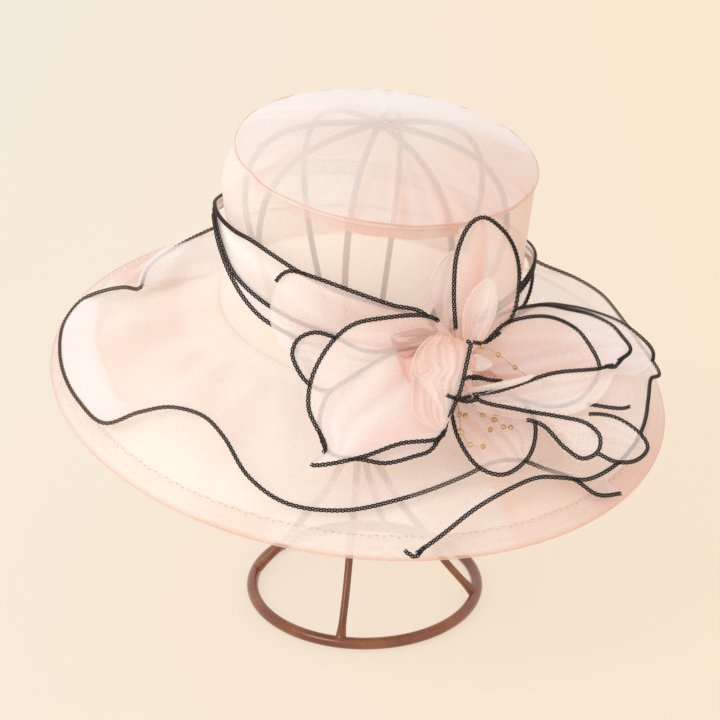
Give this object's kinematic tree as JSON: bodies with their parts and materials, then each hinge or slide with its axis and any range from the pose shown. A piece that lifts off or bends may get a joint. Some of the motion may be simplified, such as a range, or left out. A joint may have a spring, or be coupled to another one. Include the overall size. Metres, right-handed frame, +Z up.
{
  "type": "mesh sun hat on wire stand",
  "caption": "Sheer wide-brimmed sun hat with a gathered tip, black-corded ruffle, sash and looped cloth flower with pearl stamens, resting on a balloon-shaped wire hat stand.",
  "frame": {"origin": "middle of the object's box on the ground, under the stand's ring", "axes": "+Z up, -Y towards the front of the hat as pictured, +X towards the flower's side"},
  "size_m": [0.3782, 0.3838, 0.327],
  "materials": {
    "organza": "sheer crinkled organza",
    "rose_organza": "organza in several layers",
    "black_cord": "braided satin cord",
    "bronze_wire": "glossy bronze lacquer",
    "pearl": "champagne pearl"
  },
  "bodies": {
    "root": {"stand": "bronze_wire", "crown_tip": "organza", "crown_side": "organza", "tip_piping": "rose_organza", "brim": "organza", "brim_binding": "rose_organza", "ruffle": "organza", "ruffle_cord": "black_cord", "sash": "rose_organza", "sash_cord_upper": "black_cord", "sash_cord_middle": "black_cord", "sash_cord_lower": "black_cord", "flower_knot": "rose_organza", "petal_upright": "organza", "petal_upright_cord_1": "black_cord", "petal_upright_back": "organza", "petal_left_upper": "organza", "petal_left_upper_cord_1": "black_cord", "petal_left_small": "organza", "petal_left_small_cord_1": "black_cord", "petal_left_under": "organza", "petal_left_under_cord_1": "black_cord", "petal_left_front": "organza", "petal_left_front_cord_1": "black_cord", "petal_left_front_cord_2": "black_cord", "petal_right_back": "organza", "petal_right_back_cord_1": "black_cord", "petal_right_tail": "organza", "petal_right_tail_cord_1": "black_cord", "petal_right_long": "organza", "petal_right_long_cord_1": "black_cord", "petal_right_inner": "organza", "petal_right_inner_cord_1": "black_cord", "petal_right_veil": "organza", "petal_right_veil_cord_1": "black_cord", "petal_right_lower": "organza", "petal_right_lower_cord_1": "black_cord", "petal_round": "organza", "petal_round_cord_1": "black_cord", "petal_right_far": "organza", "petal_right_far_cord_1": "black_cord", "petal_heart_left": "organza", "petal_heart_front": "organza", "petal_heart_right": "organza", "petal_heart_up": "organza", "pearl_stamen_1": "pearl", "pearl_stamen_2": "pearl", "pearl_stamen_3": "pearl"}
  },
  "joints": []
}
